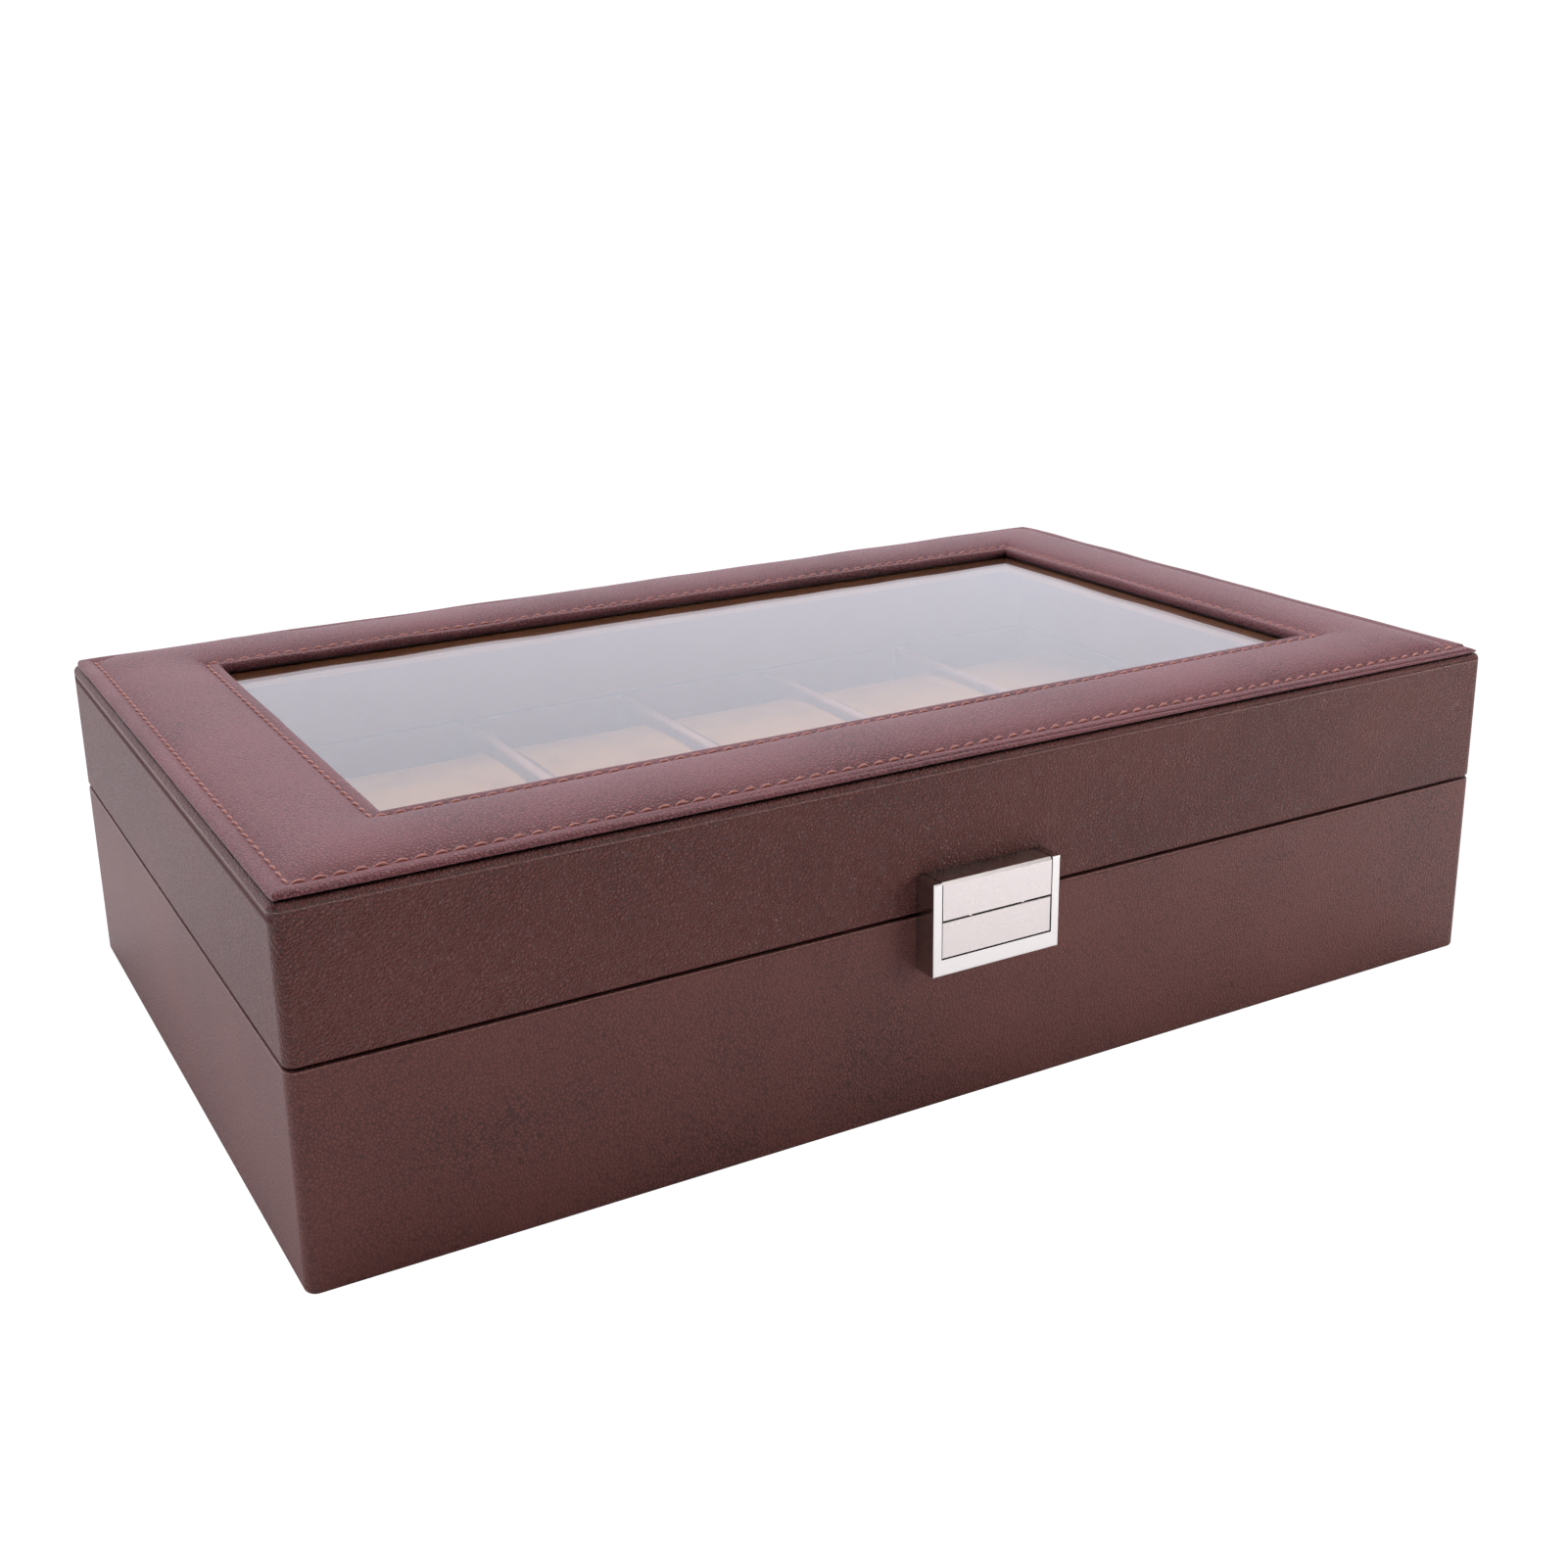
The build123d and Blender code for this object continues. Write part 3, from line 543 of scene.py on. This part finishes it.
def borderHeight(x, y):
    # height of the leather over a point of the border, in mm
    place = Vector((x, y, 0))
    ax, ay = abs(x), abs(y)
    fromOuter = min(outerHalf[0] - ax, outerHalf[1] - ay)
    fromWindow = max(ax - windowHalf[0], ay - windowHalf[1])
    along = x if outerHalf[1] - ay < outerHalf[0] - ax else y
    pucker = border["pucker"] * math.cos(2 * math.pi * along / border["stitchPitch"])

    def hem(profile, d, width):
        rise = float(np.interp(d, [at for at, _ in profile], [z for _, z in profile]))
        drawn = blend(d, width - border["hemPucker"], width)
        slack = border["slack"][1 if y > 0 else 0]
        rise += slack * noise.noise(Vector((x, y, 4.0)) / border["slackLength"]) * (1 - drawn)
        return rise + pucker * drawn ** 2

    drop = border["backDrop"] * max(blend(y, *border["dropBack"]), blend(x, *border["dropRight"]))
    if fromOuter <= border["stitchIn"]:
        plain = hem(border["hem"], fromOuter, border["stitchIn"])
        creased = hem(border["creasedHem"], fromOuter, border["stitchIn"])
        ahead = blend(x, *border["creased"]) if -y > outerHalf[1] - border["stitchIn"] else 0.0
        return plain + (creased - plain) * ahead - drop
    if fromWindow <= border["windowStitchIn"]:
        return hem(border["windowHem"], fromWindow, border["windowStitchIn"])

    # the padding between the two rows
    softOuter = float(smoothMin(outerHalf[0] - ax, outerHalf[1] - ay, border["soft"]))
    softWindow = -float(smoothMin(windowHalf[0] - ax, windowHalf[1] - ay, border["soft"]))
    a = max(softOuter - border["stitchIn"], 0.0)
    b = max(softWindow - border["windowStitchIn"], 0.0)
    t = a / max(a + b, 1e-6)
    dome = (4 * t * (1 - t)) ** border["fullness"] if 0 < t < 1 else 0.0
    hard = fromOuter - border["stitchIn"]
    edge = min(hard, fromWindow - border["windowStitchIn"])
    long, short = border["waveLengths"]
    wave = border["wave"] * noise.noise(place / long) + border["shortWave"] * noise.noise(place / short)
    if y > 0:
        farBack = min(y / outerHalf[1], 1) ** 4
        wave += border["backWave"] * noise.noise(place / border["backWaveLength"]) * farBack
    rise = (border["crown"] * dome + border["rise"] + wave) * (1 - math.exp(-edge / border["riseReach"]))
    foot = border["groove"] + (border["windowGroove"] - border["groove"]) * t
    ripple = pucker * math.exp(-edge / border["puckerReach"])
    return foot + rise + ripple - drop * math.exp(-hard / border["dropReach"])


xLines = gridLines(outerHalf[0], windowHalf[0])
yLines = gridLines(outerHalf[1], windowHalf[1])
deselectAll()
bpy.ops.mesh.primitive_grid_add(x_subdivisions=len(xLines) - 1, y_subdivisions=len(yLines) - 1, size=2)
padBorder = bpy.context.object
padBorder.name = "padBorder"
for vertex in padBorder.data.vertices:
    column = round((vertex.co.x + 1) / 2 * (len(xLines) - 1))
    row = round((vertex.co.y + 1) / 2 * (len(yLines) - 1))
    vertex.co = (xLines[column], yLines[row], seatZ)

# the glass opening
bpy.context.tool_settings.mesh_select_mode = (False, False, True)
pickFaces(padBorder, lambda c: abs(c.x) < windowHalf[0] and abs(c.y) < windowHalf[1])
bpy.ops.object.mode_set(mode="EDIT")
bpy.ops.mesh.delete(type="FACE")
bpy.ops.object.mode_set(mode="OBJECT")

# crown, beads and stitched grooves, then the four outer corners are rounded
for vertex in padBorder.data.vertices:
    vertex.co.z = borderHeight(vertex.co.x, vertex.co.y)
reach = border["cornerReach"]
for vertex in padBorder.data.vertices:
    a = (abs(vertex.co.x) - (outerHalf[0] - reach)) / reach
    b = (abs(vertex.co.y) - (outerHalf[1] - reach)) / reach
    if a > 0 and b > 0:
        corner = (round(math.copysign(1, vertex.co.x)), round(math.copysign(1, vertex.co.y)))
        pull = border["corners"][corner] / reach * max(a, b) ** 3
        newA = a + (a * math.sqrt(1 - b * b / 2) - a) * pull
        newB = b + (b * math.sqrt(1 - a * a / 2) - b) * pull
        vertex.co.x = math.copysign(outerHalf[0] - reach + newA * reach, vertex.co.x)
        vertex.co.y = math.copysign(outerHalf[1] - reach + newB * reach, vertex.co.y)

# both rims are rolled under, stand a little off the lid, and are closed below
makeActive(padBorder)
for inset, low in border["rim"] + [(border["rimFoot"][0], seatZ + border["rimFoot"][1])]:
    bpy.ops.object.mode_set(mode="EDIT")
    bpy.ops.mesh.select_mode(type="EDGE")
    bpy.ops.mesh.select_all(action="DESELECT")
    bpy.ops.mesh.select_non_manifold()
    bpy.ops.mesh.extrude_edges_move()
    bpy.ops.object.mode_set(mode="OBJECT")
    for vertex in padBorder.data.vertices:
        if not vertex.select:
            continue
        x, y = vertex.co.x, vertex.co.y
        if max(abs(x) - windowHalf[0], abs(y) - windowHalf[1]) > border["windowZone"]:
            vertex.co.x = math.copysign(min(abs(x), outerHalf[0] - inset), x)
            vertex.co.y = math.copysign(min(abs(y), outerHalf[1] - inset), y)
        else:
            rolled = min(inset, border["windowRim"])
            if abs(abs(x) - windowHalf[0]) < border["windowEdge"]:
                vertex.co.x = math.copysign(windowHalf[0] + rolled, x)
            if abs(abs(y) - windowHalf[1]) < border["windowEdge"]:
                vertex.co.y = math.copysign(windowHalf[1] + rolled, y)
        vertex.co.z = min(vertex.co.z, low)
bpy.ops.object.mode_set(mode="EDIT")
bpy.ops.mesh.select_all(action="DESELECT")
bpy.ops.mesh.select_non_manifold()
bpy.ops.mesh.bridge_edge_loops()
bpy.ops.mesh.select_all(action="SELECT")
bpy.ops.mesh.normals_make_consistent(inside=False)
bpy.ops.object.mode_set(mode="OBJECT")
padBorder.data.transform(Matrix.Scale(mm, 4))
bpy.ops.object.shade_smooth_by_angle(angle=math.radians(60))
dress(padBorder, padLeather)
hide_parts("pad_leather_cover", "pad_foam", "pad_card_frame")
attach(padBorder, "lid")
print("padded border made,", len(padBorder.data.polygons), "faces")


stitch = {
    "length": 3.2,  # mm
    "thick": 0.8,
    "slant": 11.0,  # degrees off the row
    "uneven": 5.0,  # degrees
    "bend": 0.45,  # how far the ends dive under the leather
    "lift": 0.3,
    "sunk": 0.4,  # the outer row along the back was drawn in tighter
}
deselectAll()
bpy.ops.mesh.primitive_uv_sphere_add(segments=8, ring_count=7, radius=0.5)
oneStitch = bpy.context.object
bpy.ops.object.mode_set(mode="EDIT")
bpy.ops.mesh.select_all(action="SELECT")
bpy.ops.transform.rotate(value=math.pi / 2, orient_axis="Y", center_override=(0, 0, 0))
bpy.ops.transform.resize(value=(stitch["length"] * mm, stitch["thick"] * mm, stitch["thick"] * mm))
bpy.ops.object.mode_set(mode="OBJECT")
for vertex in oneStitch.data.vertices:
    share = vertex.co.x / (stitch["length"] * mm / 2)
    vertex.co.z -= stitch["bend"] * mm * share * share
bpy.ops.object.shade_smooth()
dress(oneStitch, threadFibre)


def sewRow(name, halfX, halfY):
    # stitches along the four sides of a rectangle, an equal count on opposite sides
    made = []
    for corner, step, length in (
        ((-halfX, -halfY), (1, 0), 2 * halfX),
        ((halfX, -halfY), (0, 1), 2 * halfY),
        ((halfX, halfY), (-1, 0), 2 * halfX),
        ((-halfX, halfY), (0, -1), 2 * halfY),
    ):
        count = round(length / border["stitchPitch"])
        pitch = length / count
        for i in range(count):
            x = corner[0] + step[0] * pitch * (i + 0.5)
            y = corner[1] + step[1] * pitch * (i + 0.5)
            z = borderHeight(x, y) + stitch["lift"]
            if y > outerHalf[1] - border["stitchIn"] - 1:
                z -= stitch["sunk"]
            wobble = stitch["uneven"] * noise.noise(Vector((x, y, 7.3)) * 0.9)
            turn = math.atan2(step[1], step[0]) + math.radians(stitch["slant"] + wobble)
            copy = oneStitch.copy()
            copy.data = oneStitch.data.copy()
            copy.matrix_world = Matrix.Translation((x * mm, y * mm, z * mm)) @ Matrix.Rotation(turn, 4, "Z")
            bpy.context.collection.objects.link(copy)
            made.append(copy)
    deselectAll()
    for copy in made:
        copy.select_set(True)
    bpy.context.view_layer.objects.active = made[0]
    bpy.ops.object.join()
    row = bpy.context.object
    row.name = name
    placeInMesh(row)
    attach(row, "lid")
    print(name, len(made), "stitches")


sewRow("stitchesOuter", outerHalf[0] - border["stitchIn"], outerHalf[1] - border["stitchIn"])
sewRow("stitchesWindow", windowHalf[0] + border["windowStitchIn"], windowHalf[1] + border["windowStitchIn"])
bpy.data.objects.remove(oneStitch)


cushion = {
    "cuts": 26,  # of the cube that the roll is made from
    "endRadius": 6.0,  # mm, of the rolled front and back
    "crown": 1.0,  # mm
    "panelIn": 0.3,  # mm that the end panels stand inside the width of the node
    "pressure": 3.0,
    "frames": 14,
    "cap": 0.5,  # mm that a point may move
    "fold": 0.15,  # mm that the glued edges stand proud
    "flat": 0.05,  # mm off the bottom, where it rests
}
names = sorted(n for n in nodes if n.startswith("watch_cushion"))
firstLow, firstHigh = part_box(names[0])
rollHalf = (firstHigh - firstLow) / 2 / mm


def centreOf(nodeName):
    low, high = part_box(nodeName)
    return (low + high) / 2


def rollOutline(v, w):
    # a point on the rim of a unit square, moved to the rounded outline of the roll, in mm
    y, z = v * rollHalf.y, w * rollHalf.z
    overY = abs(y) - (rollHalf.y - cushion["endRadius"])
    overZ = abs(z) - (rollHalf.z - cushion["endRadius"])
    if overY > 0 and overZ > 0:
        back = cushion["endRadius"] / math.hypot(overY, overZ)
        y = math.copysign(rollHalf.y - cushion["endRadius"] + overY * back, y)
        z = math.copysign(rollHalf.z - cushion["endRadius"] + overZ * back, z)
    if w > 0:
        z -= cushion["crown"] * min(abs(y) / (rollHalf.y - cushion["endRadius"]), 1) ** 2
    return y, z


def onRim(point):
    # the glued edge between the wrapped sheet and an end panel, on the unit cube
    return abs(point.x) > 0.999 and max(abs(point.y), abs(point.z)) > 0.999


def swell(roll, edgeNumbers):
    # pressure pushes the cover out between its glued edges; points are held to the cap
    rest = np.array([v.co for v in roll.data.vertices])
    edges = roll.vertex_groups.new(name="gluedEdge")
    edges.add(edgeNumbers, 1.0, "REPLACE")
    cloth = roll.modifiers.new("Cloth", "CLOTH")
    cloth.settings.vertex_group_mass = "gluedEdge"
    cloth.settings.use_pressure = True
    cloth.settings.uniform_pressure_force = cushion["pressure"]
    cloth.settings.effector_weights.gravity = 0
    cloth.settings.quality = 6
    scene = bpy.context.scene
    for number in range(1, cushion["frames"] + 1):
        scene.frame_set(number)
    depsgraph = bpy.context.evaluated_depsgraph_get()
    blown = np.array([v.co for v in roll.evaluated_get(depsgraph).data.vertices])
    roll.modifiers.remove(cloth)
    roll.vertex_groups.remove(edges)
    scene.frame_set(1)
    moved = blown - rest
    far = np.linalg.norm(moved, axis=1, keepdims=True)
    held = rest + moved * np.minimum(1, cushion["cap"] * mm / np.maximum(far, 1e-9))
    roll.data.vertices.foreach_set("co", held.astype(np.float32).ravel())
    roll.data.update()


deselectAll()
bpy.ops.mesh.primitive_cube_add(size=2)
roll = bpy.context.object
roll.name = "cushionRoll"
bpy.ops.object.mode_set(mode="EDIT")
bpy.ops.mesh.select_all(action="SELECT")
bpy.ops.mesh.subdivide(number_cuts=cushion["cuts"])
bpy.ops.object.mode_set(mode="OBJECT")
gluedEdge = [v.index for v in roll.data.vertices if onRim(v.co)]
for vertex in roll.data.vertices:
    u, v, w = vertex.co
    ring = max(abs(v), abs(w))
    y, z = rollOutline(v / ring, w / ring) if ring > 1e-6 else (0.0, 0.0)
    x = math.sin(u * math.pi / 2) * (rollHalf.x - cushion["panelIn"])
    vertex.co = (x * mm, y * ring * mm, z * ring * mm)
swell(roll, gluedEdge)
for number in gluedEdge:
    point = roll.data.vertices[number].co
    outward = Vector((0, point.y, point.z)).normalized()
    roll.data.vertices[number].co = point + outward * cushion["fold"] * mm
for vertex in roll.data.vertices:
    vertex.co.z = max(vertex.co.z, (cushion["flat"] - rollHalf.z) * mm)
print("cushion blown up,", len(roll.data.polygons), "faces")
makeActive(roll)
bpy.ops.object.shade_smooth_by_angle(angle=math.radians(50))
dress(roll, cushionVelvet)

for nodeName in names:
    piece = roll.copy()
    piece.data = roll.data.copy()
    piece.name = nodeName.replace("watch_cushion", "cushionRoll")
    bpy.context.collection.objects.link(piece)
    piece.data.transform(Matrix.Translation(centreOf(nodeName)))
    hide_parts(nodeName)
    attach(piece, nodeName.replace("watch_", ""))
bpy.data.objects.remove(roll)
print(len(names), "cushions placed")


studio = {
    "floorColor": "#FFFFFF",
    "floorBurnt": 1.05,
    "roomColor": "#F7F4FF",
    "behind": 1.4,  # the room behind and beside the box
    "photographer": 0.01,  # the dark side, where the photographer stands
    "fallOff": (-0.25, 0.35),  # between the two, along Y
    "roomBurnt": 1.5,
    # place, aim, size in m and power in W
    "softBoxes": {
        "topBox": ((0.1, 0.2, 1.4), (0, 0, 0.04), (1.2, 1.0), 10.5),
        "rightBox": ((0.5, -0.5, 0.2), (0.1, -0.09, 0.03), (0.35, 0.35), 1.7),
        "leftBox": ((-0.6, 0.0, 0.25), (-0.15, 0.0, 0.04), (0.35, 0.35), 0.35),
        "keyBox": ((0.6, -0.5, 1.1), (0.0, -0.05, 0.05), (0.9, 0.4), 1.8),
    },
}
deselectAll()
bpy.ops.mesh.primitive_plane_add(size=40)
floor = bpy.context.object
floor.name = "studioFloor"
# a white paper sweep, burnt out to plain white where the camera sees it
floorMaterial, floorShader = newMaterial("paperFloor", Roughness=0.9, Specular_IOR_Level=0.1)
floorShader.inputs["Base Color"].default_value = hexColor(studio["floorColor"])
burnt = addNode(floorMaterial, "ShaderNodeEmission", {"Strength": studio["floorBurnt"]})
seenByCamera = addNode(floorMaterial, "ShaderNodeLightPath").outputs["Is Camera Ray"]
sweep = addNode(
    floorMaterial, "ShaderNodeMixShader", {0: seenByCamera, 1: floorShader.outputs[0], 2: burnt.outputs[0]})
plug(floorMaterial, sweep.outputs[0], floorMaterial.node_tree.nodes["Material Output"].inputs["Surface"])
dress(floor, floorMaterial)

# a white room that falls off to the photographer's side, and plain white where the camera sees it
world = bpy.data.worlds.new("whiteRoom")
bpy.context.scene.world = world
world.use_nodes = True
background = world.node_tree.nodes["Background"]
background.inputs["Color"].default_value = hexColor(studio["roomColor"])
towards = addNode(world, "ShaderNodeTexCoord").outputs["Generated"]
direction = addNode(world, "ShaderNodeSeparateXYZ", {0: towards})
fallFrom, fallTo = studio["fallOff"]
level = addNode(
    world, "ShaderNodeMapRange",
    {"Value": direction.outputs["Y"], "From Min": fallFrom, "From Max": fallTo, "To Min": studio["photographer"],
     "To Max": studio["behind"]},
    interpolation_type="SMOOTHSTEP")
cameraRay = addNode(world, "ShaderNodeLightPath").outputs["Is Camera Ray"]
seen = addNode(world, "ShaderNodeMath", {0: cameraRay, 1: studio["roomBurnt"]}, operation="MULTIPLY")
strength = addNode(
    world, "ShaderNodeMath", {0: seen.outputs[0], 1: level.outputs["Result"]}, operation="MAXIMUM")
plug(world, strength.outputs[0], background.inputs["Strength"])

for boxName, (place, aim, size, power) in studio["softBoxes"].items():
    light = bpy.data.lights.new(boxName, "AREA")
    light.shape = "RECTANGLE"
    light.size, light.size_y = size
    light.energy = power
    lamp = bpy.data.objects.new(boxName, light)
    lamp.location = place
    lamp.rotation_euler = (Vector(aim) - Vector(place)).to_track_quat("-Z", "Y").to_euler()
    bpy.context.collection.objects.link(lamp)

photoCamera = {
    "focal": 1909.64,  # px
    "place": (-0.21978, -0.39205, 0.20234),
    "azimuth": 28.624,
    "elevation": 17.113,
    "roll": -1.238,
    "centre": (761.12, 728.06),  # px
    "frame": 1601,
}


def aimCamera():
    azimuth, elevation, roll = (math.radians(photoCamera[k]) for k in ("azimuth", "elevation", "roll"))
    level = math.cos(elevation)
    ahead = Vector((math.sin(azimuth) * level, math.cos(azimuth) * level, -math.sin(elevation)))
    right = ahead.cross(Vector((0, 0, 1))).normalized()
    up = right.cross(ahead)
    rolledRight = right * math.cos(roll) + up * math.sin(roll)
    rolledUp = up * math.cos(roll) - right * math.sin(roll)
    camera = bpy.data.objects.new("photoCamera", bpy.data.cameras.new("photoCamera"))
    bpy.context.collection.objects.link(camera)
    camera.matrix_world = Matrix((
        (rolledRight.x, rolledUp.x, -ahead.x, photoCamera["place"][0]),
        (rolledRight.y, rolledUp.y, -ahead.y, photoCamera["place"][1]),
        (rolledRight.z, rolledUp.z, -ahead.z, photoCamera["place"][2]),
        (0, 0, 0, 1),
    ))
    size = photoCamera["frame"]
    camera.data.sensor_width = 36
    camera.data.lens = photoCamera["focal"] / size * 36
    camera.data.shift_x = (size / 2 - photoCamera["centre"][0]) / size
    camera.data.shift_y = (photoCamera["centre"][1] - size / 2) / size
    camera.data.clip_start = 0.01
    bpy.context.scene.camera = camera


aimCamera()
bpy.context.scene.view_settings.view_transform = "Standard"
print("studio set")
